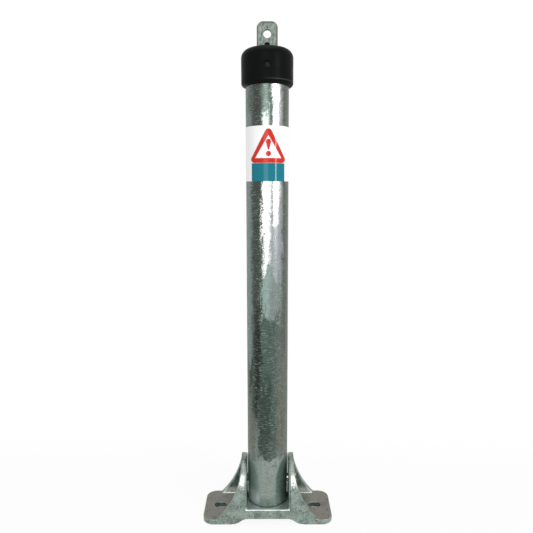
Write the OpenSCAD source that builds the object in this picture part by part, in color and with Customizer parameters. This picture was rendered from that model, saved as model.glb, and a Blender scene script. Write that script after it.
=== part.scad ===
// Folding parking post: a galvanised tube that stands in a cast base plate, held up by
// an inner flat bar whose eye takes a padlock. Lifted off its seat, it swings down to the front.
// Millimetres. Z is up, the front is -Y, and the origin is on the ground under the tube's axis.

/* [Base casting] */
// Length of the base plate, left to right
base_l = 195; // [190:1:230]
// Width of the base plate, front to back, which is also the width across the webs
base_w = 76; // [75:0.5:84]
// Thickness of the wings that are bolted down
plate_t = 8; // [7:0.5:10]
// Corner radius of the wings
corner_r = 15; // [6:1:24]
// Distance between the two anchor slots
slot_pitch = 146; // [144:1:152]
// Length of an anchor slot, end to end
slot_l = 18; // [14:1:22]
// Width of an anchor slot
slot_w = 12; // [9:0.5:13]
// Height of the relieved arch under the middle of the base
arch_h = 8.8; // [5:0.1:10]
// Width of the arch's flat roof
arch_flat = 56; // [40:1:60]
// Length of the curve from the arch's roof down to a wing's underside
arch_run = 26; // [20:1:28]
// Thickness of each cheek that carries the pin
cheek_t = 5.7; // [5:0.1:6.4]
// Clearance between the tube and each cheek
cheek_gap = 1.3; // [1.05:0.05:1.6]
// How far a cheek's edge stands behind the face of its web
cheek_step = 2.5; // [1:0.1:3.5]
// How far a cheek's top stands below the crown of its web
crown_step = 0.5; // [0.3:0.1:0.9]
// Width of the flush front and back wall that laps each cheek
wall_lap = 2.5; // [2:0.1:3]
// Thickness of the web band round each cheek
band_t = 8; // [6:0.25:9]
// How far the top of a web stands out past its cheek
web_top = 2.85; // [1.5:0.05:4]
// Radius of the sweep of a web from its top out to the wing
web_r = 116; // [112:1:121]
// Height of the land that the lying tube passes over, between the cheeks
land_z = 23.85; // [22.5:0.05:28]
// Radius of the cast fillet between cheek and wing
pocket_r = 10; // [8:0.5:12]

/* [Post tube] */
// Outside diameter of the steel tube
tube_od = 60.3; // [60:0.1:61]
// Wall of the tube
tube_wall = 3.2; // [2.6:0.1:3.6]
// Length of the tube
tube_l = 649.3; // [500:0.1:800]
// Depth of the round seat that the tube stands in
seat_depth = 0.9; // [0.5:0.05:0.9]
// Clearance round the tube in its seat
seat_gap = 0.95; // [0.9:0.05:1.6]
// Width of the channel in the seat that the tube's end swings through
channel_w = 55; // [54.5:0.5:57]
// Depth of that channel below the tube's end
channel_depth = 5.35; // [5:0.05:6]
// Travel of the tube along the bar when it is lifted
lift = 22; // [21.5:0.1:23]

/* [Hinge pin] */
// Diameter of the pin
pin_d = 12; // [10:0.5:12]
// Diameter of the pin's head
pin_head_d = 18; // [15:0.5:20]
// Thickness of the pin's head
pin_head_t = 7.5; // [3:0.5:8]
// Length of the pin that stands out of the left cheek
pin_tail = 5.2; // [4.5:0.1:6]
// Outside diameter of the washer at the pin's tail
washer_d = 22; // [20:0.5:24]
// Thickness of the washer
washer_t = 1.6; // [1.2:0.1:2]
// Thickness of the retaining ring
ring_t = 1.2; // [1:0.1:1.4]
// Outside diameter of the retaining ring
ring_d = 18; // [16:0.5:19]
// Depth of the ring's groove in the pin
groove_depth = 0.9; // [0.6:0.1:1.2]

/* [Locking bar] */
// Width of the flat bar
bar_w = 28.5; // [24:0.5:32]
// Thickness of the flat bar
bar_t = 6; // [5:0.5:7]
// Height of the bar's eye end above the cap
tang_h = 36.5; // [34:0.5:45]
// Radius of the eye end's corners
tang_r = 8.5; // [3:0.5:10]
// Diameter of the padlock eye
eye_d = 11; // [8:0.5:12]
// Distance from the eye's centre to the bar's end
eye_drop = 16; // [12:0.5:18]
// Outside diameter of the sleeve that turns on the pin
sleeve_d = 20; // [19:0.5:22]
// Length of the sleeve
sleeve_l = 46; // [36:1:47]
// Height of the flat on the sleeve above the pin's axis
sleeve_flat = 9; // [8.5:0.1:9.2]
// Thickness of each guide disc inside the tube
guide_t = 10; // [6:1:14]
// Distance from the tube's lower end to the lower guide
guide_low = 80; // [70:1:120]
// Distance from the tube's upper end down to the upper guide
guide_high = 25; // [15:1:40]

/* [Cap] */
// How far the cap's skirt stands out from the tube
cap_reach = 5.85; // [4.85:0.05:7.85]
// Height of the cap
cap_h = 49.5; // [46:0.5:60]
// Thickness of the cap's roof above the tube
cap_roof = 12.25; // [11:0.25:15]
// Radius of the cap's shoulder
cap_shoulder = 12; // [6:0.5:13]
// Radius of the cap's lower edge
cap_lip = 5; // [3:0.25:5.25]
// Diameter of the nib moulded on the cap in front of the bar
nib_d = 7; // [5:0.5:8]
// Height of that nib above the cap
nib_h = 7.5; // [5:0.5:10]
// Rounding of the nib's top
nib_round = 1.5; // [0.5:0.1:2]
// Height of the rivets above the cap's lower edge
rivet_up = 22.6; // [18:0.5:26]
// Diameter of the recess round a rivet
recess_d = 11; // [10:0.5:13]
// Depth of the recess round a rivet
recess_depth = 2.4; // [2:0.1:2.8]
// Diameter of a rivet's domed head
rivet_head_d = 8.4; // [7:0.2:9]
// Height of a rivet's domed head
rivet_head_h = 1.8; // [1.2:0.1:2]
// Diameter of a rivet's shank
rivet_d = 4.8; // [4:0.1:5]

/* [Warning label] */
// Height of the label
label_h = 74; // [72:1:90]
// Distance from the cap down to the label's upper edge
label_drop = 54.3; // [30:1:80]
// Angle that the label wraps round the tube
label_wrap = 240; // [180:5:300]
// Width of the warning triangle, seen from the front
sign_w = 46.6; // [42:0.2:47]
// Height of the warning triangle
sign_h = 45.4; // [40:0.2:46]
// Radius of the triangle's outer corners
sign_round = 4.8; // [4:0.2:5]
// Width of the triangle's printed border along its foot
sign_border = 6.4; // [5.6:0.1:6.6]
// Height of the colour panel under the triangle
panel_h = 24.3; // [15:0.1:24.5]
// Width of the colour panel, measured round the tube
panel_w = 50; // [40:1:56]
// How far the print stands to the right of the tube's middle
print_shift = 1.5; // [-3:0.5:3]

/* [Hidden] */
$fn = 96;

// Clearances
swing_gap = 0.5;      // between the lying tube and the land round its seat
pin_gap = 0.1;        // round the pin, in cheeks, washer and sleeve
slot_gap = 0.3;       // round the pin, in the tube's slots
slide_gap = 0.5;      // round the bar, in its guides and the cap
push_gap = 0.2;       // round what is pushed in or over, such as guides and cap
nib_gap = 1;          // between the nib and the bar's slot in the cap
film_gap = 0.05;      // under each layer of the label
film_t = 0.25;        // thickness of each layer of the label
mark_gap = 0.85;      // between the mark's top and the triangle's border
sign_gap = 0.4;       // between the triangle and the panel under it
eps = 0.01;           // overlap of cutting tools

tube_r = tube_od / 2;
bore_r = tube_r - tube_wall;
pin_z = land_z + swing_gap + tube_r;
half_w = base_w / 2;
cheek_in = tube_r + cheek_gap;
cheek_out = cheek_in + cheek_t;
wall_x = cheek_in + wall_lap;
cheek_r = half_w - cheek_step;
web_x = cheek_out + web_top;
web_mid = pin_z - cheek_step + crown_step;
web_z = web_mid + half_w;
seat_r = tube_r + seat_gap;
seat_z = land_z - seat_depth;
channel_z = seat_z - channel_depth;
arch_r = (arch_run * arch_run + arch_h * arch_h) / (4 * arch_h);
arch_mid = arch_flat / 2 + arch_run / 2;
arch_end = arch_flat / 2 + arch_run;
tube_top = seat_z + tube_l;
cap_r = tube_r + cap_reach;
cap_top = tube_top + cap_roof;
cap_z = cap_top - cap_h;
bar_z = pin_z + sleeve_flat;
bar_top = cap_top + tang_h;
eye_z = bar_top - eye_drop;
rivet_z = cap_z + rivet_up;
rivet_seat = cap_r - recess_depth;
nib_y = bar_t / 2 + slide_gap + nib_gap + nib_d / 2;
label_top = cap_z - label_drop;
label_z = label_top - label_h;
film_r = tube_r + film_gap;
print_r = film_r + film_t + film_gap;
sign_z = label_z + panel_h + sign_gap;
print_turn = print_shift / tube_r * 180 / PI;
// Middles of the triangle's rounded corners
sign_reach = sign_w / 2 - sign_round;
sign_low = sign_z + sign_round;
sign_high = sign_z + sign_h - sign_round;
sign_lean = atan(sign_reach / (sign_high - sign_low));
// The white inside the border narrows a little faster than its outline, as the print does
white_reach = sign_w / 2 - sign_border * 0.82;
white_low = sign_z + sign_border;
white_high = sign_z + sign_h - sign_border * 1.33;
white_lean = atan(white_reach / (white_high - white_low));
mark_z = sign_z + sign_h * 0.62;
mark_r = (white_high - mark_z) * sin(white_lean) - mark_gap;
washer_x = -cheek_out - pin_gap;
ring_x = washer_x - washer_t - pin_gap;

// Extrudes an outline drawn in Y and Z along X
module along_x(start, length) {
    translate([start, 0, 0]) rotate([90, 0, 90]) linear_extrude(length) children();
}

// Extrudes an outline drawn in X and Z along Y
module along_y(start, length) {
    translate([0, start + length, 0]) rotate([90, 0, 0]) linear_extrude(length) children();
}

// A rod along X between two places, at the pin's height
module pin_rod(from_x, to_x, radius) {
    translate([from_x, 0, pin_z]) rotate([0, 90, 0]) cylinder(r = radius, h = to_x - from_x);
}

// Straight sides with a half round on top
module tombstone(radius, middle, foot) {
    translate([0, middle]) circle(radius);
    translate([-radius, foot]) square([2 * radius, middle - foot]);
}

module plate_outline() {
    square([base_l - 2 * corner_r, base_w], center = true);
    square([base_l, base_w - 2 * corner_r], center = true);
    for (x = [-1, 1], y = [-1, 1])
        translate([x * (base_l / 2 - corner_r), y * (half_w - corner_r)]) circle(corner_r);
}

module anchor_slot() {
    straight = slot_l - slot_w;
    square([straight, slot_w], center = true);
    for (x = [-1, 1])
        translate([x * straight / 2, 0]) circle(slot_w / 2);
}

// Right half of the space under the arch
module arch_half() {
    translate([-eps, -1]) square([arch_flat / 2 + eps, arch_h + 1]);
    intersection() {
        translate([arch_flat / 2, arch_h - arch_r]) circle(arch_r);
        translate([arch_flat / 2 - eps, -1]) square([arch_run / 2 + eps, arch_h + 1]);
    }
    difference() {
        translate([arch_mid - eps, -1]) square([arch_run / 2 + eps, arch_h / 2 + 1]);
        translate([arch_end, arch_r]) circle(arch_r);
    }
}

// Right-hand cheek with the web band that runs round it and sweeps out over the wing
module side_wall() {
    foot = plate_t / 2;
    along_x(cheek_in, cheek_t) tombstone(cheek_r, pin_z, foot);
    intersection() {
        along_x(wall_x, base_l / 2) difference() {
            tombstone(half_w, web_mid, foot);
            tombstone(half_w - band_t, web_mid, 0);
        }
        along_y(-base_w, 2 * base_w) difference() {
            translate([wall_x, foot]) square([base_l / 2 - wall_x, web_z + eps - foot]);
            translate([web_x + web_r, web_z]) circle(web_r);
        }
    }
    along_y(-half_w + band_t / 2, base_w - band_t) difference() {
        translate([cheek_in, foot])
            square([cheek_t + pocket_r, plate_t - foot + pocket_r]);
        translate([cheek_out + pocket_r, plate_t + pocket_r]) circle(pocket_r);
    }
}

module base_casting() {
    color("#858f86") difference() {
        union() {
            linear_extrude(plate_t) plate_outline();
            along_y(-half_w, base_w)
                translate([-wall_x, plate_t / 2]) square([2 * wall_x, land_z - plate_t / 2]);
            side_wall();
            mirror([1, 0, 0]) side_wall();
        }
        along_y(-base_w, 2 * base_w) {
            arch_half();
            mirror([1, 0]) arch_half();
        }
        translate([0, 0, seat_z]) cylinder(r = seat_r, h = seat_depth + eps);
        intersection() {
            translate([0, 0, channel_z]) cylinder(r = seat_r, h = land_z);
            translate([-channel_w / 2, -base_w, 0]) cube([channel_w, 2 * base_w, land_z + eps]);
        }
        for (x = [-1, 1])
            translate([x * slot_pitch / 2, 0, -eps])
                linear_extrude(plate_t + 2 * eps) anchor_slot();
        pin_rod(-base_l / 2, base_l / 2, pin_d / 2 + pin_gap);
    }
}

module hinge_pin() {
    color("#b3a46a") difference() {
        union() {
            pin_rod(-cheek_out - pin_tail, cheek_out + eps, pin_d / 2);
            pin_rod(cheek_out, cheek_out + pin_head_t, pin_head_d / 2);
        }
        difference() {
            pin_rod(ring_x - ring_t - pin_gap, ring_x + pin_gap, pin_d);
            pin_rod(ring_x - base_l, ring_x + base_l, pin_d / 2 - groove_depth);
        }
    }
}

module pin_washer() {
    color("#b9bbb2") difference() {
        pin_rod(washer_x - washer_t, washer_x, washer_d / 2);
        pin_rod(washer_x - base_l, washer_x + base_l, pin_d / 2 + pin_gap);
    }
}

// Open ring that snaps into the pin's groove
module pin_retainer() {
    mouth = pin_d * 0.75;
    color("#6d6f6b") difference() {
        pin_rod(ring_x - ring_t, ring_x, ring_d / 2);
        pin_rod(ring_x - base_l, ring_x + base_l, pin_d / 2 - groove_depth + pin_gap);
        translate([ring_x - ring_t - 1, -mouth / 2, pin_z - ring_d])
            cube([ring_t + 2, mouth, ring_d]);
    }
}

module pivot_sleeve() {
    color("#9a9c94") difference() {
        pin_rod(-sleeve_l / 2, sleeve_l / 2, sleeve_d / 2);
        pin_rod(-sleeve_l, sleeve_l, pin_d / 2 + pin_gap);
        translate([-sleeve_l, -sleeve_d, bar_z]) cube([2 * sleeve_l, 2 * sleeve_d, sleeve_d]);
    }
}

module locking_bar() {
    straight = bar_top - tang_r - bar_z;
    color("#8f8c80") along_y(-bar_t / 2, bar_t) difference() {
        union() {
            translate([-bar_w / 2, bar_z]) square([bar_w, straight]);
            translate([-bar_w / 2 + tang_r, bar_z]) square([bar_w - 2 * tang_r, straight + tang_r]);
            for (x = [-1, 1])
                translate([x * (bar_w / 2 - tang_r), bar_top - tang_r]) circle(tang_r);
        }
        translate([0, eye_z]) circle(eye_d / 2);
    }
}

// Side slot in which the tube slides past the pin
module lift_slot() {
    radius = pin_d / 2 + slot_gap;
    translate([0, pin_z - lift]) circle(radius);
    translate([0, pin_z]) circle(radius);
    translate([-radius, pin_z - lift]) square([2 * radius, lift]);
}

module post_tube() {
    color("#7d8a86") difference() {
        translate([0, 0, seat_z]) cylinder(r = tube_r, h = tube_l);
        translate([0, 0, seat_z - eps]) cylinder(r = bore_r, h = tube_l + 2 * eps);
        along_x(-tube_od, 2 * tube_od) lift_slot();
        translate([0, tube_od, rivet_z]) rotate([90, 0, 0])
            cylinder(d = rivet_d + 2 * pin_gap, h = 2 * tube_od);
    }
}

// Disc inside the tube that keeps the bar in the middle
module guide(height) {
    color("#3a3d3c") difference() {
        translate([0, 0, height]) cylinder(r = bore_r - push_gap, h = guide_t);
        bar_passage(height - eps, guide_t + 2 * eps);
    }
}

module bar_passage(from_z, height) {
    wide = bar_w + 2 * slide_gap;
    thick = bar_t + 2 * slide_gap;
    translate([-wide / 2, -thick / 2, from_z]) cube([wide, thick, height]);
}

module cap_profile() {
    translate([0, cap_z + cap_lip]) square([cap_r, cap_h - cap_lip - cap_shoulder]);
    translate([0, cap_z]) square([cap_r - cap_lip, cap_h - cap_shoulder]);
    translate([0, cap_z]) square([cap_r - cap_shoulder, cap_h]);
    translate([cap_r - cap_shoulder, cap_top - cap_shoulder]) circle(cap_shoulder);
    translate([cap_r - cap_lip, cap_z + cap_lip]) circle(cap_lip);
}

// Round peg on the cap's roof, with its foot sunk into the roof
module nib() {
    straight = nib_h - nib_round;
    translate([0, 0, -1]) cylinder(d = nib_d, h = 1 + eps);
    rotate_extrude() {
        square([nib_d / 2, straight]);
        square([nib_d / 2 - nib_round, nib_h]);
        translate([nib_d / 2 - nib_round, straight]) circle(nib_round);
    }
}

module lower_guide() { guide(seat_z + guide_low); }

module upper_guide() { guide(tube_top - guide_high - guide_t); }

module post_cap() {
    color("#1c201e") difference() {
        union() {
            rotate_extrude() cap_profile();
            translate([0, -nib_y, cap_top]) nib();
        }
        translate([0, 0, cap_z - eps])
            cylinder(r = tube_r + push_gap, h = tube_top + push_gap - cap_z + eps);
        bar_passage(tube_top, cap_h);
        for (turn = [0, 180])
            rotate([0, 0, turn]) translate([0, -rivet_seat, rivet_z]) rotate([90, 0, 0])
                cylinder(d = recess_d, h = cap_r);
        translate([0, 2 * cap_r, rivet_z]) rotate([90, 0, 0])
            cylinder(d = rivet_d + 2 * pin_gap, h = 4 * cap_r);
    }
}

// Blind rivet through cap and tube, modelled at the front
module cap_rivet() {
    tail = bore_r - 1;
    dome_r = (pow(rivet_head_d / 2, 2) + rivet_head_h * rivet_head_h) / (2 * rivet_head_h);
    color("#3b403d") translate([0, 0, rivet_z]) rotate([90, 0, 0]) {
        translate([0, 0, tail]) cylinder(d = rivet_d, h = rivet_seat - tail + eps);
        translate([0, 0, tail - 2]) cylinder(d = rivet_d * 1.4, h = 2 + eps);
        intersection() {
            translate([0, 0, rivet_seat]) cylinder(d = rivet_head_d, h = rivet_head_h + eps);
            translate([0, 0, rivet_seat + rivet_head_h - dome_r]) sphere(dome_r);
        }
    }
}

module cap_rivet_front() { cap_rivet(); }

module cap_rivet_back() { rotate([0, 0, 180]) cap_rivet(); }

// One layer of film, bent round the tube and centred on the front
module film(radius, from_z, height, wrap) {
    rotate([0, 0, -90 - wrap / 2]) rotate_extrude(angle = wrap)
        translate([radius, from_z]) square([film_t, height]);
}

// Layer of print on the film, cut to the outline drawn in X and Z
module print_layer() {
    rotate([0, 0, print_turn]) intersection() {
        film(print_r, label_z, label_h, 170);
        along_y(-tube_od, tube_od) children();
    }
}

module warning_label() {
    color("#e8e6e0") film(film_r, label_z, label_h, label_wrap);
}

module label_triangle() {
    side_x = sign_round * cos(sign_lean);
    side_z = sign_round * sin(sign_lean);
    color("#d94130") print_layer() difference() {
        union() {
            for (side = [-1, 1])
                translate([side * sign_reach, sign_low]) circle(sign_round);
            translate([0, sign_high]) circle(sign_round);
            polygon([[-sign_reach, sign_z], [sign_reach, sign_z],
                     [sign_reach + side_x, sign_low + side_z], [side_x, sign_high + side_z],
                     [-side_x, sign_high + side_z], [-sign_reach - side_x, sign_low + side_z]]);
        }
        polygon([[-white_reach, white_low], [white_reach, white_low], [0, white_high]]);
    }
}

module label_mark() {
    // The mark keeps its proportions to the triangle's height
    foot_r = sign_h * 0.025;
    foot_z = sign_z + sign_h * 0.41;
    dot_r = sign_h * 0.078;
    dot_z = sign_z + sign_h * 0.27;
    color("#d94130") print_layer() {
        translate([0, mark_z]) circle(mark_r);
        translate([0, foot_z]) circle(foot_r);
        polygon([[-mark_r, mark_z], [-foot_r, foot_z], [foot_r, foot_z], [mark_r, mark_z]]);
        translate([0, dot_z]) circle(dot_r);
    }
}

module label_panel() {
    color("#0f8f9c") rotate([0, 0, print_turn])
        film(print_r, label_z, panel_h, panel_w / print_r * 180 / PI);
}

base_casting();
hinge_pin();
pin_washer();
pin_retainer();
pivot_sleeve();
locking_bar();
post_tube();
lower_guide();
upper_guide();
post_cap();
cap_rivet_front();
cap_rivet_back();
warning_label();
label_triangle();
label_mark();
label_panel();
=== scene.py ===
"""Looks of the folding parking post: a galvanised tube in a cast base, with a black cap and a label."""

import math

import bpy
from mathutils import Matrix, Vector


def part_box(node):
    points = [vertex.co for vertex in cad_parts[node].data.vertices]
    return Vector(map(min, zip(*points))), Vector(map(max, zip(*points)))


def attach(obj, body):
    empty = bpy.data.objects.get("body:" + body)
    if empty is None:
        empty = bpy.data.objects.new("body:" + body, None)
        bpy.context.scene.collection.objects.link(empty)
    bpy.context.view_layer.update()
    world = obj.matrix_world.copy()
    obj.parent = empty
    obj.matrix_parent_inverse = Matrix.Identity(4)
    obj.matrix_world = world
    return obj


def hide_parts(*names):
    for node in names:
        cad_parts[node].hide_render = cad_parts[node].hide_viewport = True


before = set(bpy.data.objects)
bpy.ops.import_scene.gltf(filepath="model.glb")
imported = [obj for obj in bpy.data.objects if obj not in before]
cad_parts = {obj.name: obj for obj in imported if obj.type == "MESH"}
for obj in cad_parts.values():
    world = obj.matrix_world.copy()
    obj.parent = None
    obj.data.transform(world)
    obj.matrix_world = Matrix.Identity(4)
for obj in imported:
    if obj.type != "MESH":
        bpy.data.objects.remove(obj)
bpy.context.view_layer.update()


# Base casting
# One piece of cast iron, hot-dip galvanised: two slotted wings, an arched middle, and two cheeks whose
# webs sweep out to the wings. Sand casting leaves every edge and corner rounded and the faces a little wavy.
CAST_GRAIN = 0.0009
CAST_SOFTENING = 4
CAST_KEPT = 0.3
CAST_FACE = "#87968E"
CAST_PALE = "#A4B3AA"
CAST_SHADE = "#5F6D65"
# Painted light on the land round the tube's foot
CAST_LAND_LIGHT = "#C6D5CD"
# Browns of the wings' upper faces, partly weathering and partly painted reflection
CAST_WING = "#7A776F"
CAST_WING_DARK = "#5C5B53"
CAST_SKIN = "#5C554B"
# Dark of the blow holes, and the painted shade in the anchor slots
CAST_PIT_AND_SHADE = "#27302B"
# Painted highlight, on the webs' fronts, the rear webs' feet and the land's front edge
CAST_HIGHLIGHT = "#E6ECE8"
# Half width of the land between the cheeks, and where the brown of the wings is full
CHEEK_X = 0.0335
WING_X = 0.042
# Heights of the land's rounded front edge, and the depths between which that edge carries a painted highlight
SILL_LOW = 0.02265
SILL_HIGH = 0.02425
SILL_FRONT = (-0.0362, -0.037)
# Heights at which the painted highlight on the webs' fronts fades in and out
HIGHLIGHT_FROM = (0.078, 0.088)
HIGHLIGHT_TO = (0.118, 0.102)
# Height and depth at which the painted highlight at the feet of the rear webs fades in
REAR_FOOT_Z = (0.022, 0.015)
REAR_FOOT_Y = (0.015, 0.022)
# The land's height, and the anchor slots' reach along X, half width and upper edge
LAND_Z = (0.019, 0.025)
SLOT_X = (0.062, 0.084)
SLOT_HALF = 0.0075
SLOT_TOP = (0.0076, 0.0068)


def colour(text):
    """Turns an sRGB hex value into the linear colour that shaders take."""
    parts = [int(text[i:i + 2], 16) / 255 for i in (1, 3, 5)]
    return tuple(p / 12.92 if p <= 0.04045 else ((p + 0.055) / 1.055) ** 2.4 for p in parts) + (1.0,)


def grey(value):
    """The linear colour of a plain grey."""
    return (value, value, value, 1.0)


def add_node(tree, kind, settings=None, inputs=None, stops=None):
    """Adds a node. An input is a value or the output socket that feeds it, and stops fill a colour ramp."""
    node = tree.nodes.new(kind)
    for name, value in (settings or {}).items():
        setattr(node, name, value)
    for name, value in (inputs or {}).items():
        if isinstance(value, bpy.types.NodeSocket):
            tree.links.new(value, node.inputs[name])
        else:
            node.inputs[name].default_value = value
    if stops:
        ramp = node.color_ramp.elements
        while len(ramp) < len(stops):
            ramp.new(1.0)
        for element, (place, tone) in zip(ramp, stops):
            element.position = place
            element.color = tone
    return node


def mask(tree, *ranges):
    """Where measures lie in their ranges: each has a value, two limits and, if asked, two strengths."""
    product = None
    for value, low, high, *strengths in ranges:
        bottom, top = strengths or (0.0, 1.0)
        part = add_node(tree, "ShaderNodeMapRange", {"interpolation_type": "SMOOTHSTEP"}, {
            "Value": value, "From Min": low, "From Max": high, "To Min": bottom, "To Max": top}).outputs[0]
        product = part if product is None else add_node(tree, "ShaderNodeMath", {"operation": "MULTIPLY"}, {
            0: product, 1: part}).outputs[0]
    return product


def between(value, low, high, soft, most=1.0):
    """The two ranges that keep a value between two edges, and fade over a width round each of them."""
    return (value, low - soft / 2, low + soft / 2, 0.0, most), (value, high + soft / 2, high - soft / 2)


def coated(tree, surface, *coats):
    """A surface with tones laid over it one after another, each where its mask lets it."""
    for tone, where in coats:
        surface = add_node(tree, "ShaderNodeMix", {"data_type": "RGBA"}, {
            "Factor": where, "A": surface, "B": tone}).outputs["Result"]
    return surface


def straying(tree, measure, *noises):
    """A measure that wanders with noises, each with its low and high and how far it carries either way."""
    for noise, low, high, reach in noises:
        measure = add_node(tree, "ShaderNodeMath", {"operation": "ADD"}, {
            0: measure, 1: mask(tree, (noise, low, high, -reach, reach))}).outputs[0]
    return measure


def new_material(name):
    """An empty material, with its tree and its output node."""
    material = bpy.data.materials.new(name)
    material.use_nodes = True
    material.node_tree.nodes.clear()
    return material, material.node_tree, material.node_tree.nodes.new("ShaderNodeOutputMaterial")


def only(piece):
    """Selects one piece and makes it active, because operators act on all that is selected."""
    bpy.ops.object.select_all(action="DESELECT")
    piece.select_set(True)
    bpy.context.view_layer.objects.active = piece


def modify(piece, kind, **settings):
    """Adds a modifier to a piece and applies it."""
    only(piece)
    modifier = piece.modifiers.new(kind.lower(), kind)
    for name, value in settings.items():
        setattr(modifier, name, value)
    bpy.ops.object.modifier_apply(modifier=modifier.name)


def copy_node(node):
    """A merged copy of a CAD node's mesh as a piece of its own."""
    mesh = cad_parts[node].data.copy()
    mesh.materials.clear()
    piece = bpy.data.objects.new(node + "_looks", mesh)
    bpy.context.scene.collection.objects.link(piece)
    only(piece)
    bpy.ops.object.mode_set(mode="EDIT")
    bpy.ops.mesh.select_all(action="SELECT")
    bpy.ops.mesh.remove_doubles(threshold=1e-6)
    bpy.ops.object.mode_set(mode="OBJECT")
    return piece


def galvanised_casting():
    """Hot-dip galvanised cast iron: matt grey-green zinc with dark pits, browner on wings and at edges, with
    painted highlights, light and shade.
    """
    material, tree, output = new_material("galvanised_cast_iron")
    place = add_node(tree, "ShaderNodeTexCoord").outputs["Object"]
    spot = add_node(tree, "ShaderNodeSeparateXYZ", {}, {"Vector": place}).outputs
    geometry = add_node(tree, "ShaderNodeNewGeometry").outputs
    facing = add_node(tree, "ShaderNodeSeparateXYZ", {}, {"Vector": geometry["Normal"]}).outputs
    side = add_node(tree, "ShaderNodeMath", {"operation": "ABSOLUTE"}, {0: spot["X"]}).outputs[0]
    in_cheeks = (side, CHEEK_X, CHEEK_X - 0.001)
    past_cheeks = (side, CHEEK_X, CHEEK_X + 0.001)
    # Cloudy zinc in patches of about 12 mm, and speckle of about 1.5 mm, in equal parts
    clouds = add_node(tree, "ShaderNodeTexNoise", {}, {
        "Vector": place, "Scale": 85.0, "Detail": 5.0, "Roughness": 0.62}).outputs["Fac"]
    speckle = add_node(tree, "ShaderNodeTexNoise", {}, {
        "Vector": place, "Scale": 620.0, "Detail": 3.0, "Roughness": 0.7}).outputs["Fac"]
    both = add_node(tree, "ShaderNodeMath", {"operation": "ADD"}, {0: clouds, 1: speckle}).outputs[0]
    mixed = add_node(tree, "ShaderNodeMath", {"operation": "MULTIPLY"}, {0: both, 1: 0.5}).outputs[0]
    zinc = add_node(tree, "ShaderNodeValToRGB", {}, {"Fac": mixed}, [
        (0.38, colour(CAST_SHADE)), (0.5, colour(CAST_FACE)), (0.62, colour(CAST_PALE))]).outputs["Color"]
    # The wings' upper faces are browner than the land round the tube: partly weathering, partly a painted
    # reflection on up-facing zinc
    weathered = coated(tree, colour(CAST_WING_DARK), (colour(CAST_WING), mask(tree, (mixed, 0.38, 0.52))))
    wing = mask(tree, (facing["Z"], 0.55, 0.9, 0.0, 0.9), (side, CHEEK_X, WING_X))
    # Brown skin shows through where the zinc is thin, along rounded edges
    wear_and_highlight = mask(tree, (geometry["Pointiness"], 0.52, 0.6, 0.0, 0.75), (clouds, 0.4, 0.58))
    # Painted highlights: high on the webs' fronts, at the feet of the rear ones, and along the sill
    front = (facing["Y"], -0.7, -0.92)
    ragged = add_node(tree, "ShaderNodeMath", {"operation": "MULTIPLY_ADD"}, {
        0: speckle, 1: 0.045, 2: spot["Z"]}).outputs[0]
    high = mask(tree, (ragged, *HIGHLIGHT_FROM), (ragged, *HIGHLIGHT_TO), past_cheeks, front)
    rear_foot_highlight = mask(tree, (spot["Z"], *REAR_FOOT_Z), (spot["Y"], *REAR_FOOT_Y), front)
    sill_highlight = mask(tree, *between(spot["Z"], SILL_LOW, SILL_HIGH, 0.0005), (spot["Y"], *SILL_FRONT), in_cheeks,
                (mixed, 0.42, 0.52, 0.45, 1.0))
    # The land round the tube's foot is painted lighter: painted light against the shade of the tube and the
    # cheeks.
    land_light = mask(tree, *between(spot["Z"], *LAND_Z, 0.001), (facing["Z"], 0.5, 0.9, 0.0, 0.85), in_cheeks)
    # The anchor slots' walls are painted dark: painted shade down in the slots
    slot_shade = mask(tree, *between(side, *SLOT_X, 0.0005),
                     *between(spot["Y"], -SLOT_HALF, SLOT_HALF, 0.0005), (spot["Z"], *SLOT_TOP, 0.0, 0.45))
    # Blow holes of about 1 mm, in one cell of eight
    cells = add_node(tree, "ShaderNodeTexVoronoi", {}, {"Vector": place, "Scale": 260.0}).outputs
    lot = add_node(tree, "ShaderNodeSeparateXYZ", {}, {"Vector": cells["Color"]}).outputs["X"]
    pits = mask(tree, (cells["Distance"], 0.32, 0.15), (lot, 0.87, 0.8701))
    tone = coated(tree, zinc, (weathered, wing), (colour(CAST_SKIN), wear_and_highlight), (colour(CAST_HIGHLIGHT), high),
                  (colour(CAST_HIGHLIGHT), rear_foot_highlight), (colour(CAST_HIGHLIGHT), sill_highlight), (colour(CAST_LAND_LIGHT), land_light),
                  (colour(CAST_PIT_AND_SHADE), slot_shade), (colour(CAST_PIT_AND_SHADE), pits))
    height = add_node(tree, "ShaderNodeMath", {"operation": "SUBTRACT"}, {0: both, 1: pits}).outputs[0]
    bump = add_node(tree, "ShaderNodeBump", {}, {"Height": height, "Strength": 0.4, "Distance": 0.0005})
    shader = add_node(tree, "ShaderNodeBsdfPrincipled", {}, {
        "Base Color": tone, "Metallic": 0.8, "Roughness": mask(tree, (clouds, 0.3, 0.7, 0.3, 0.5)),
        "Normal": bump.outputs["Normal"]})
    tree.links.new(shader.outputs["BSDF"], output.inputs["Surface"])
    return material


casting = copy_node("base_casting")
modify(casting, "REMESH", mode="VOXEL", voxel_size=CAST_GRAIN)
modify(casting, "SMOOTH", factor=0.5, iterations=CAST_SOFTENING)
modify(casting, "DECIMATE", ratio=CAST_KEPT)
only(casting)
bpy.ops.object.shade_smooth()
casting.data.materials.append(galvanised_casting())
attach(casting, "base")
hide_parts("base_casting")


# Post tube
# Welded steel tube, hot-dip galvanised upright, with long upright bands of bright and dull grey painted round
# it:
# mostly painted reflections and highlights, partly runs of the zinc. The lower end stood in the bath's ash and
# is duller, with a ragged pale foot.
ZINC_BASE = "#808D87"
ZINC_SCRATCH = "#B9C7C1"
BAND_SOFTNESS = 1.7
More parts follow.
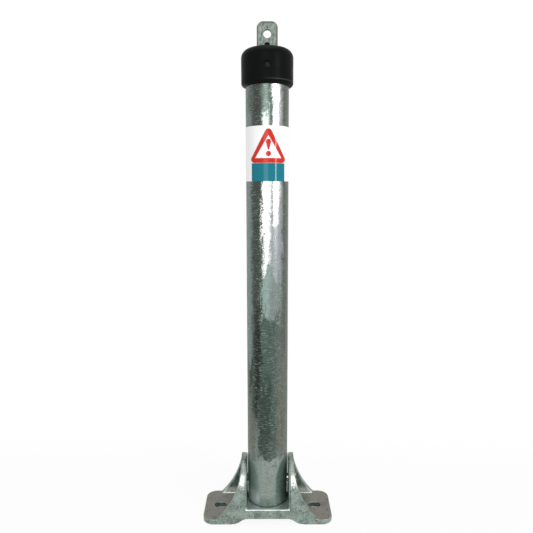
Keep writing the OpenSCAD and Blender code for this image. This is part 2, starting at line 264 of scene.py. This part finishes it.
# Each band: its edges round the tube in degrees from the front, positive to the right, its lower and upper end
# in metres above the ground, how softly its sides and its ends fade (degrees, metres), and its tone
# The white bands are painted highlights, the darkest painted dark reflections, the rest partly painted
# reflection, partly zinc runs
ZINC_RUNS_AND_REFLECTIONS = [
    (-180, -95, -1.0, 2.0, 14, 0.05, "#6E7A76"),
    (95, 180, -1.0, 2.0, 14, 0.05, "#69736C"),
    (-150, -128, 0.14, 2.0, 9, 0.05, "#3F4842"),
    (118, 140, 0.20, 2.0, 9, 0.05, "#C9D2CE"),
    (-72, -44, 0.245, 0.60, 5, 0.02, "#72817E"),
    (-72, -40, 0.60, 0.70, 8, 0.02, "#5E6A66"),
    (-66, -44, 0.20, 0.245, 6, 0.01, "#343D37"),
    (-68, -34, 0.16, 0.20, 6, 0.02, "#565F58"),
    (12, 46, 0.09, 0.33, 6, 0.03, "#626B64"),
    (-46, -16, 0.155, 0.59, 5, 0.03, "#454E47"),
    (-38, -17, 0.18, 0.32, 7, 0.03, "#2B332D"),
    (-44, -15, 0.585, 0.70, 9, 0.02, "#454C44"),
    (-15, 10, 0.600, 0.70, 5, 0.02, "#5F6D66"),
    (-15, 8, 0.435, 0.53, 3, 0.02, "#FAFCFB"),
    (-10, 8, 0.385, 0.435, 4, 0.02, "#F4F8F6"),
    (-15, 7, 0.315, 0.385, 4, 0.02, "#8CA09A"),
    (-13, 2, 0.568, 0.60, 4, 0.015, "#CFDCD5"),
    (4, 13, 0.570, 0.62, 4, 0.02, "#5E6E66"),
    (16, 34, 0.440, 0.66, 4, 0.03, "#FCFCFD"),
    (34, 46, 0.38, 0.66, 5, 0.03, "#A3A5A7"),
    (10, 42, 0.36, 0.445, 5, 0.02, "#9A9FA3"),
    (10, 40, 0.31, 0.37, 6, 0.03, "#808A87"),
    (44, 62, 0.24, 2.0, 6, 0.05, "#5B615A"),
    (30, 62, -1.0, 0.25, 8, 0.06, "#6A7067"),
    (-17, 24, 0.09, 0.315, 4, 0.02, "#4F5F58"),
    (-26, 8, 0.10, 0.215, 5, 0.02, "#3D4A44"),
    (-76, -34, 0.09, 0.165, 5, 0.03, "#696F66"),
    (62, 100, -1.0, 2.0, 9, 0.05, "#565A50"),
    (-100, -70, -1.0, 2.0, 5, 0.05, "#4C5249"),
]
FOOT_TOP = 0.096
FOOT_TONE = "#87938B"
# Tones of the painted reflection of each cheek on the tube's foot, lighter on the left and darker on the right
CHEEK_REFLECTION_LEFT = "#7B9087"
CHEEK_REFLECTION_RIGHT = "#566C61"
# The painted reflection beside each cheek starts this far round from the front, and above this height its edge
# curves away
REFLECTION_TURN = 24.0
REFLECTION_BEND_Z = 0.065
REFLECTION_BEND = 26300.0
# Patches of ash on the foot, given as the bands are
FOOT_PATCHES = [
    (-80, -28, 0.026, 0.046, 12, 0.014, "#B7BEC0"),
    (-26, 26, 0.018, 0.036, 10, 0.010, "#6E7D76"),
    (-2, 1, 0.024, 0.036, 3, 0.006, "#4A5650"),
    (24, 44, 0.024, 0.044, 10, 0.012, "#66756E"),
]


def finish_node(node, material):
    """Gives a CAD node a material through its slots."""
    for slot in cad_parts[node].material_slots:
        slot.material = material


def galvanised_tube():
    """Hot-dip galvanised tube: painted reflections and highlights in ragged upright bands, with crystals and
    light scratches.
    """
    material, tree, output = new_material("galvanised_tube")
    place = add_node(tree, "ShaderNodeTexCoord").outputs["Object"]
    spot = add_node(tree, "ShaderNodeSeparateXYZ", {}, {"Vector": place}).outputs
    forward = add_node(tree, "ShaderNodeMath", {"operation": "MULTIPLY"}, {0: spot["Y"], 1: -1.0}).outputs[0]
    turn = add_node(tree, "ShaderNodeMath", {"operation": "ARCTAN2"}, {0: spot["X"], 1: forward}).outputs[0]
    degrees = add_node(tree, "ShaderNodeMath", {"operation": "DEGREES"}, {0: turn}).outputs[0]
    # The bands' edges wander in lumps of about 7 by 25 mm and are frayed in flecks of about 1.5 mm
    tall = add_node(tree, "ShaderNodeMapping", {}, {
        "Vector": place, "Scale": (1.0, 1.0, 0.3)}).outputs["Vector"]
    lumps = add_node(tree, "ShaderNodeTexNoise", {}, {
        "Vector": tall, "Scale": 140.0, "Detail": 3.0, "Roughness": 0.6}).outputs["Fac"]
    flecks = add_node(tree, "ShaderNodeTexNoise", {}, {
        "Vector": place, "Scale": 560.0, "Detail": 4.0, "Roughness": 0.75}).outputs["Fac"]
    swayed = straying(tree, degrees, (lumps, 0.25, 0.75, 5.0), (flecks, 0.3, 0.7, 6.0))
    height = straying(tree, spot["Z"], (lumps, 0.25, 0.75, 0.02), (flecks, 0.25, 0.75, 0.008))
    tone = colour(ZINC_BASE)
    # Painted reflections, highlights and runs of the zinc, laid band by band
    for left, right, low, high, side_soft, end_soft, shade in ZINC_RUNS_AND_REFLECTIONS:
        band = mask(tree, *between(swayed, left, right, BAND_SOFTNESS * side_soft),
                   *between(height, low, high, end_soft))
        tone = coated(tree, tone, (colour(shade), band))
    # The pale foot ends in a ragged line, and on each side of it lies an arch-shaped painted reflection of the
    # cheek
    wide = add_node(tree, "ShaderNodeTexNoise", {}, {
        "Vector": place, "Scale": 75.0, "Detail": 3.0}).outputs["Fac"]
    foot = (straying(tree, spot["Z"], (wide, 0.35, 0.65, 0.009)), FOOT_TOP + 0.001, FOOT_TOP - 0.001)
    tone = coated(tree, tone, (colour(FOOT_TONE), mask(tree, foot)))
    rise = add_node(tree, "ShaderNodeMath", {"operation": "SUBTRACT"}, {
        0: spot["Z"], 1: REFLECTION_BEND_Z}).outputs[0]
    rise = add_node(tree, "ShaderNodeMath", {"operation": "MAXIMUM"}, {0: rise, 1: 0.0}).outputs[0]
    bend = add_node(tree, "ShaderNodeMath", {"operation": "POWER"}, {0: rise, 1: 2.0}).outputs[0]
    inset = add_node(tree, "ShaderNodeMath", {"operation": "MULTIPLY_ADD"}, {
        0: bend, 1: -REFLECTION_BEND, 2: -REFLECTION_TURN}).outputs[0]
    # Painted reflection of each cheek, lighter on the left and darker on the right
    for way, reflected in ((-1.0, CHEEK_REFLECTION_LEFT), (1.0, CHEEK_REFLECTION_RIGHT)):
        past = add_node(tree, "ShaderNodeMath", {"operation": "MULTIPLY_ADD"}, {
            0: degrees, 1: way, 2: inset}).outputs[0]
        tone = coated(tree, tone, (colour(reflected), mask(tree, (past, -3.0, 4.0), foot)))
    for left, right, low, high, side_soft, end_soft, shade in FOOT_PATCHES:
        patch = mask(tree, *between(swayed, left, right, side_soft, 0.85),
                     *between(spot["Z"], low, high, end_soft))
        tone = coated(tree, tone, (colour(shade), patch))
    # Scratches of about 1 by 8 mm, slanted two ways over the surface laid flat
    arc = add_node(tree, "ShaderNodeMath", {"operation": "MULTIPLY"}, {
        0: turn, 1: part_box("post_tube")[1][0]}).outputs[0]
    flat = add_node(tree, "ShaderNodeCombineXYZ", {}, {"X": arc, "Y": spot["Z"]}).outputs["Vector"]
    scratched = 0.0
    for slant, amount in ((-35, 0.5), (62, 0.4)):
        laid = add_node(tree, "ShaderNodeMapping", {}, {
            "Vector": flat, "Rotation": (0.0, 0.0, math.radians(slant)), "Scale": (1.0, 9.0, 1.0)}).outputs[0]
        lines = add_node(tree, "ShaderNodeTexNoise", {}, {
            "Vector": laid, "Scale": 120.0, "Detail": 2.0}).outputs["Fac"]
        some = mask(tree, (lines, 0.59, 0.68, 0.0, amount), (lumps, 0.4, 0.6, 0.25, 1.0))
        scratched = add_node(tree, "ShaderNodeMath", {"operation": "ADD"}, {0: scratched, 1: some}).outputs[0]
    tone = coated(tree, tone, (colour(ZINC_SCRATCH), scratched))
    # Crystals of about 5 mm and mottling of about 2 mm
    crystals = add_node(tree, "ShaderNodeTexVoronoi", {}, {"Vector": place, "Scale": 210.0}).outputs["Color"]
    glint = add_node(tree, "ShaderNodeSeparateXYZ", {}, {"Vector": crystals}).outputs["X"]
    mottle = add_node(tree, "ShaderNodeMath", {"operation": "MULTIPLY_ADD"}, {
        0: glint, 1: 0.12, 2: mask(tree, (flecks, 0.36, 0.64, 0.72, 1.06))}).outputs[0]
    mottled = add_node(tree, "ShaderNodeVectorMath", {"operation": "SCALE"}, {
        "Vector": tone, "Scale": mottle}).outputs["Vector"]
    relief = add_node(tree, "ShaderNodeMath", {"operation": "MULTIPLY_ADD"}, {
        0: flecks, 1: 0.25, 2: lumps}).outputs[0]
    bump = add_node(tree, "ShaderNodeBump", {}, {"Height": relief, "Strength": 0.3, "Distance": 0.0006})
    shader = add_node(tree, "ShaderNodeBsdfPrincipled", {}, {
        "Base Color": mottled, "Metallic": mask(tree, (height, 0.08, 0.14, 0.35, 0.9)),
        "Roughness": mask(tree, (height, 0.2, 0.45, 0.42, 0.3)), "Normal": bump.outputs["Normal"]})
    tree.links.new(shader.outputs["BSDF"], output.inputs["Surface"])
    return material


finish_node("post_tube", galvanised_tube())


# Locking bar and its sleeve
# Flat steel bar, dull zinc with brown along its sawn edges, and the turned sleeve that hinges it on the pin.
# The bar's upper end, with the padlock eye, stands out of the cap.
BAR_ZINC = "#768079"
BAR_DARK = "#464F49"
BAR_PALE = "#8E9A91"
BAR_BROWN = "#46382B"
BAR_EDGE = 0.0007
# How far the brown reaches in from the long edges and from the end
BAR_WORN_SIDE = 0.003
BAR_WORN_END = 0.0035


def soften(node, body, material, width):
    """Replaces a CAD node with a copy whose sharp edges are rounded, so that they catch the light."""
    piece = copy_node(node)
    bpy.ops.object.mode_set(mode="EDIT")
    bpy.ops.mesh.select_all(action="SELECT")
    bpy.ops.mesh.dissolve_limited(angle_limit=math.radians(0.5))
    bpy.ops.object.mode_set(mode="OBJECT")
    modify(piece, "BEVEL", width=width, segments=3, limit_method="ANGLE", angle_limit=math.radians(40),
           use_clamp_overlap=True)
    bpy.ops.object.shade_smooth_by_angle(angle=math.radians(32))
    modify(piece, "TRIANGULATE")
    piece.data.materials.append(material)
    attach(piece, body)
    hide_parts(node)


def flat_bar_steel(name, reach):
    """Dull zinc on hot-rolled flat bar: blotched grey-green, brown where the edges have weathered."""
    material, tree, output = new_material(name)
    place = add_node(tree, "ShaderNodeTexCoord").outputs["Object"]
    spot = add_node(tree, "ShaderNodeSeparateXYZ", {}, {"Vector": place}).outputs
    side = add_node(tree, "ShaderNodeMath", {"operation": "ABSOLUTE"}, {0: spot["X"]}).outputs[0]
    # Blotches of about 3 mm, drawn out slantwise by the rolling and the file
    laid = add_node(tree, "ShaderNodeMapping", {}, {
        "Vector": place, "Rotation": (0.0, math.radians(35), 0.0), "Scale": (1.0, 1.0, 0.5)}).outputs[0]
    blotches = add_node(tree, "ShaderNodeTexNoise", {}, {
        "Vector": laid, "Scale": 420.0, "Detail": 6.0, "Roughness": 0.7}).outputs["Fac"]
    zinc = add_node(tree, "ShaderNodeValToRGB", {}, {"Fac": blotches}, [
        (0.36, colour(BAR_DARK)), (0.5, colour(BAR_ZINC)), (0.64, colour(BAR_PALE))]).outputs["Color"]
    thin = (blotches, 0.36, 0.56)
    browned = add_node(tree, "ShaderNodeMath", {"operation": "MAXIMUM"}, {
        0: mask(tree, (side, reach[0] - BAR_WORN_SIDE, reach[0]), thin),
        1: mask(tree, (spot["Z"], reach[2] - BAR_WORN_END, reach[2]), thin)}).outputs[0]
    bump = add_node(tree, "ShaderNodeBump", {}, {"Height": blotches, "Strength": 0.35, "Distance": 0.0004})
    shader = add_node(tree, "ShaderNodeBsdfPrincipled", {}, {
        "Base Color": coated(tree, zinc, (colour(BAR_BROWN), browned)), "Metallic": 0.75, "Roughness": 0.46,
        "Normal": bump.outputs["Normal"]})
    tree.links.new(shader.outputs["BSDF"], output.inputs["Surface"])
    return material


soften("locking_bar", "bar", flat_bar_steel("zinc_flat_bar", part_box("locking_bar")[1]), BAR_EDGE)
finish_node("pivot_sleeve", flat_bar_steel("turned_sleeve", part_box("pivot_sleeve")[1]))


# Hinge pin, washer and retaining ring
# Turned steel pin with a yellow zinc plate, held at its tail by a bright zinc washer and a black spring ring.
PIN_GOLD = "#9C8C62"
PIN_STEEL = "#C9C6BC"
PIN_OIL = "#2C2A22"
PIN_EDGE = 0.0006
WASHER_ZINC = "#B3B6AF"
RING_BLACK = "#5B5E5A"
# The yellow plate is worn off the pin inside the cheeks: it fades in between these distances from the middle
PLATE_X = (0.033, 0.036)


def plated(name, tone, rough, grime=0.0):
    """Electroplated zinc on turned steel: bright and smooth, with dark oil and grime in patches of 4 mm."""
    material, tree, output = new_material(name)
    place = add_node(tree, "ShaderNodeTexCoord").outputs["Object"]
    cloud = add_node(tree, "ShaderNodeTexNoise", {}, {
        "Vector": place, "Scale": 260.0, "Detail": 3.0}).outputs["Fac"]
    tinted = add_node(tree, "ShaderNodeVectorMath", {"operation": "SCALE"}, {
        "Vector": colour(tone)[:3], "Scale": mask(tree, (cloud, 0.3, 0.7, 0.7, 1.2))}).outputs["Vector"]
    oiled = coated(tree, tinted, (colour(PIN_OIL), mask(tree, (cloud, 0.5, 0.6, 0.0, grime))))
    shader = add_node(tree, "ShaderNodeBsdfPrincipled", {}, {
        "Base Color": oiled, "Metallic": 1.0, "Roughness": rough})
    tree.links.new(shader.outputs["BSDF"], output.inputs["Surface"])
    return material


def gold_head_pin():
    """The pin: bare bright steel where it turns, and yellow zinc with black grime on its head and tail."""
    material, tree, output = new_material("yellow_zinc_pin")
    place = add_node(tree, "ShaderNodeTexCoord").outputs["Object"]
    spot = add_node(tree, "ShaderNodeSeparateXYZ", {}, {"Vector": place}).outputs
    side = add_node(tree, "ShaderNodeMath", {"operation": "ABSOLUTE"}, {0: spot["X"]}).outputs[0]
    cloud = add_node(tree, "ShaderNodeTexNoise", {}, {
        "Vector": place, "Scale": 240.0, "Detail": 3.0}).outputs["Fac"]
    tone = coated(tree, colour(PIN_STEEL), (colour(PIN_GOLD), mask(tree, (side, *PLATE_X))),
                  (colour(PIN_OIL), mask(tree, (cloud, 0.44, 0.56, 0.0, 0.85))))
    shader = add_node(tree, "ShaderNodeBsdfPrincipled", {}, {
        "Base Color": tone, "Metallic": 1.0, "Roughness": 0.25})
    tree.links.new(shader.outputs["BSDF"], output.inputs["Surface"])
    return material


soften("hinge_pin", "base", gold_head_pin(), PIN_EDGE)
finish_node("pin_washer", plated("bright_zinc_plate", WASHER_ZINC, 0.28, 0.3))
finish_node("pin_retainer", plated("phosphated_spring_steel", RING_BLACK, 0.45))


# Guides and cap
# Injection-moulded black plastic: two discs inside the tube, and the cap with its rounded shoulder, the bar's
# slot and a nib in front of it. The cap is satin, with a fine moulded grain.
CAP_BLACK = "#0D110F"
# Tone of the painted highlight along the cap's foot
CAP_HIGHLIGHT = "#3C443F"
CAP_EDGE = 0.0005
GUIDE_BLACK = "#303332"
# The bevel inside the cap's foot starts this far up, and a painted highlight lies along its edge on the right
# over this width
CAP_FOOT = 0.0055
HIGHLIGHT_HALF = 0.0006
HIGHLIGHT_X = (-0.008, 0.012)


def moulded_plastic(name, tone, rough, highlight_z=None):
    """Black moulded plastic: satin, with a faint grain from the mould, and a painted highlight along one edge
    if asked.
    """
    material, tree, output = new_material(name)
    place = add_node(tree, "ShaderNodeTexCoord").outputs["Object"]
    grain = add_node(tree, "ShaderNodeTexNoise", {}, {
        "Vector": place, "Scale": 700.0, "Detail": 3.0}).outputs["Fac"]
    scuffs = add_node(tree, "ShaderNodeTexNoise", {}, {
        "Vector": place, "Scale": 60.0, "Detail": 4.0}).outputs["Fac"]
    bump = add_node(tree, "ShaderNodeBump", {}, {"Height": grain, "Strength": 0.15, "Distance": 0.0002})
    surface = colour(tone)
    if highlight_z:
        spot = add_node(tree, "ShaderNodeSeparateXYZ", {}, {"Vector": place}).outputs
        # Painted highlight along the upper edge of the foot's bevel, on the right
        wear_and_highlight = mask(tree, *between(spot["Z"], highlight_z - HIGHLIGHT_HALF, highlight_z + HIGHLIGHT_HALF, HIGHLIGHT_HALF),
                    (spot["X"], *HIGHLIGHT_X, 0.0, 0.8))
        surface = coated(tree, surface, (colour(CAP_HIGHLIGHT), wear_and_highlight))
    shader = add_node(tree, "ShaderNodeBsdfPrincipled", {}, {
        "Base Color": surface, "Roughness": mask(tree, (scuffs, 0.3, 0.7, rough - 0.08, rough + 0.08)),
        "IOR": 1.3, "Specular IOR Level": 0.08, "Normal": bump.outputs["Normal"]})
    tree.links.new(shader.outputs["BSDF"], output.inputs["Surface"])
    return material


soften("post_cap", "post",
       moulded_plastic("moulded_satin_black", CAP_BLACK, 0.4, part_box("post_cap")[0][2] + CAP_FOOT), CAP_EDGE)
finish_node("lower_guide", moulded_plastic("guide_plastic", GUIDE_BLACK, 0.5))
finish_node("upper_guide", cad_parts["lower_guide"].material_slots[0].material)


# Cap rivets
# Blind rivets with domed heads, sunk in round recesses at the front and back of the cap, painted black.
RIVET_BLACK = "#212824"

finish_node("cap_rivet_front", moulded_plastic("black_rivet_paint", RIVET_BLACK, 0.28))
finish_node("cap_rivet_back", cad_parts["cap_rivet_front"].material_slots[0].material)


# Warning label
# White vinyl film wrapped round the tube, screen printed with a red warning triangle over a plain teal panel.
FILM_WHITE = "#FFFFFF"
INK_RED = "#CF2A1B"
INK_TEAL = "#027687"


def printed_film(name, tone):
    """Gloss vinyl film or the ink on it: even colour, a little patchy as screen printing is, and glossy."""
    material, tree, output = new_material(name)
    place = add_node(tree, "ShaderNodeTexCoord").outputs["Object"]
    ripple = add_node(tree, "ShaderNodeTexNoise", {}, {
        "Vector": place, "Scale": 120.0, "Detail": 2.0}).outputs["Fac"]
    ink = add_node(tree, "ShaderNodeTexNoise", {}, {
        "Vector": place, "Scale": 900.0, "Detail": 2.0}).outputs["Fac"]
    tinted = add_node(tree, "ShaderNodeVectorMath", {"operation": "SCALE"}, {
        "Vector": colour(tone)[:3], "Scale": mask(tree, (ink, 0.3, 0.7, 0.97, 1.0))}).outputs["Vector"]
    bump = add_node(tree, "ShaderNodeBump", {}, {"Height": ripple, "Strength": 0.08, "Distance": 0.0003})
    shader = add_node(tree, "ShaderNodeBsdfPrincipled", {}, {
        "Base Color": tinted, "Roughness": 0.12, "Specular IOR Level": 0.25,
        "Normal": bump.outputs["Normal"]})
    tree.links.new(shader.outputs["BSDF"], output.inputs["Surface"])
    return material


finish_node("warning_label", printed_film("white_vinyl", FILM_WHITE))
finish_node("label_triangle", printed_film("red_ink", INK_RED))
finish_node("label_mark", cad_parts["label_triangle"].material_slots[0].material)
finish_node("label_panel", printed_film("teal_ink", INK_TEAL))


# Floor, light and camera
# A plain white floor that keeps the object's shadow, a white surround, and soft studio light from above and
# both sides.
FLOOR_SIZE = 14.0
# Half length and half width of the floor under the anchor slots, and the shares of them where it whitens
FLOOR_BARE = (0.0975, 0.021)
FLOOR_EDGE = (0.845, 0.87)
# How white it is near the object, where its shadow lies, and over which shares that rises to full white
FLOOR_WHITE = 0.9
FLOOR_FAR = (3.0, 14.0)
SKY_LIGHT = 0.55
CAMERA_PLACE = (-0.0013, -0.7352, 0.4949)
CAMERA_TILT = 8.53
CAMERA_ROLL = 0.06
CAMERA_LENS = 34.46
CAMERA_SENSOR = 36


def whiteness_seen(tree):
    """One for rays that see the surround: from the camera, and through gloss and clear surfaces."""
    rays = add_node(tree, "ShaderNodeLightPath").outputs
    seen = add_node(tree, "ShaderNodeMath", {"operation": "MAXIMUM"}, {
        0: rays["Is Camera Ray"], 1: rays["Is Glossy Ray"]}).outputs[0]
    return add_node(tree, "ShaderNodeMath", {"operation": "MAXIMUM"}, {
        0: seen, 1: rays["Is Transmission Ray"]}).outputs[0]


def studio_floor():
    """Matt white board: bare in the anchor slots, mostly white in the shadow, and all white far off."""
    material, tree, output = new_material("studio_floor")
    place = add_node(tree, "ShaderNodeTexCoord").outputs["Object"]
    spot = add_node(tree, "ShaderNodeSeparateXYZ", {}, {"Vector": place}).outputs
    shares = []
    for axis, half in zip("XY", FLOOR_BARE):
        off = add_node(tree, "ShaderNodeMath", {"operation": "ABSOLUTE"}, {0: spot[axis]}).outputs[0]
        shares.append(add_node(tree, "ShaderNodeMath", {"operation": "DIVIDE"}, {0: off, 1: half}).outputs[0])
    far = add_node(tree, "ShaderNodeMath", {"operation": "MAXIMUM"}, {0: shares[0], 1: shares[1]}).outputs[0]
    clear = add_node(tree, "ShaderNodeMath", {"operation": "ADD"}, {
        0: mask(tree, (far, *FLOOR_EDGE, 0.0, FLOOR_WHITE)),
        1: mask(tree, (far, *FLOOR_FAR, 0.0, 1 - FLOOR_WHITE))}).outputs[0]
    whiteness = add_node(tree, "ShaderNodeMath", {"operation": "MULTIPLY"}, {
        0: whiteness_seen(tree), 1: clear}).outputs[0]
    matt = add_node(tree, "ShaderNodeBsdfDiffuse", {}, {"Color": grey(0.9)})
    glow = add_node(tree, "ShaderNodeEmission", {}, {"Color": grey(1.0), "Strength": 1.0})
    blend = add_node(tree, "ShaderNodeMixShader", {}, {0: whiteness, 1: matt.outputs[0], 2: glow.outputs[0]})
    tree.links.new(blend.outputs[0], output.inputs["Surface"])
    return material


def softbox(name, place, aim, size, watts):
    """A rectangular soft light at a place, turned to face a point."""
    lamp = bpy.data.lights.new(name, "AREA")
    lamp.shape = "RECTANGLE"
    lamp.size, lamp.size_y = size
    lamp.energy = watts
    holder = bpy.data.objects.new(name, lamp)
    bpy.context.scene.collection.objects.link(holder)
    away = [a - b for a, b in zip(aim, place)]
    holder.location = place
    holder.rotation_euler = (math.atan2(math.hypot(away[0], away[1]), -away[2]), 0,
                             math.atan2(-away[0], away[1]))
    holder.visible_camera = False


bpy.ops.object.select_all(action="DESELECT")
bpy.ops.mesh.primitive_plane_add(size=FLOOR_SIZE)
floor = bpy.context.active_object
floor.name = "floor"
floor.data.materials.append(studio_floor())

world = bpy.data.worlds.new("studio")
bpy.context.scene.world = world
world.use_nodes = True
world.node_tree.nodes.clear()
level = add_node(world.node_tree, "ShaderNodeMapRange", {}, {
    "Value": whiteness_seen(world.node_tree), "To Min": SKY_LIGHT, "To Max": 1.0})
sky = add_node(world.node_tree, "ShaderNodeBackground", {}, {
    "Color": grey(1.0), "Strength": level.outputs["Result"]})
add_node(world.node_tree, "ShaderNodeOutputWorld", {}, {"Surface": sky.outputs[0]})

softbox("key_front", place=(-0.25, -1.9, 0.85), aim=(0, 0, 0.5), size=(0.8, 1.0), watts=7)
softbox("key_right", place=(1.3, -1.3, 0.9), aim=(0, 0, 0.5), size=(0.14, 0.9), watts=11)
softbox("overhead", place=(0.0, -0.3, 2.4), aim=(0, 0, 0), size=(1.4, 1.4), watts=14)

camera = bpy.data.objects.new("camera", bpy.data.cameras.new("camera"))
bpy.context.scene.collection.objects.link(camera)
camera.location = CAMERA_PLACE
camera.rotation_euler = (math.radians(90 - CAMERA_TILT), 0, 0)
camera.rotation_euler.rotate_axis("Z", math.radians(-CAMERA_ROLL))
camera.data.lens = CAMERA_LENS
camera.data.sensor_width = CAMERA_SENSOR
bpy.context.scene.camera = camera
bpy.context.scene.view_settings.view_transform = "Standard"
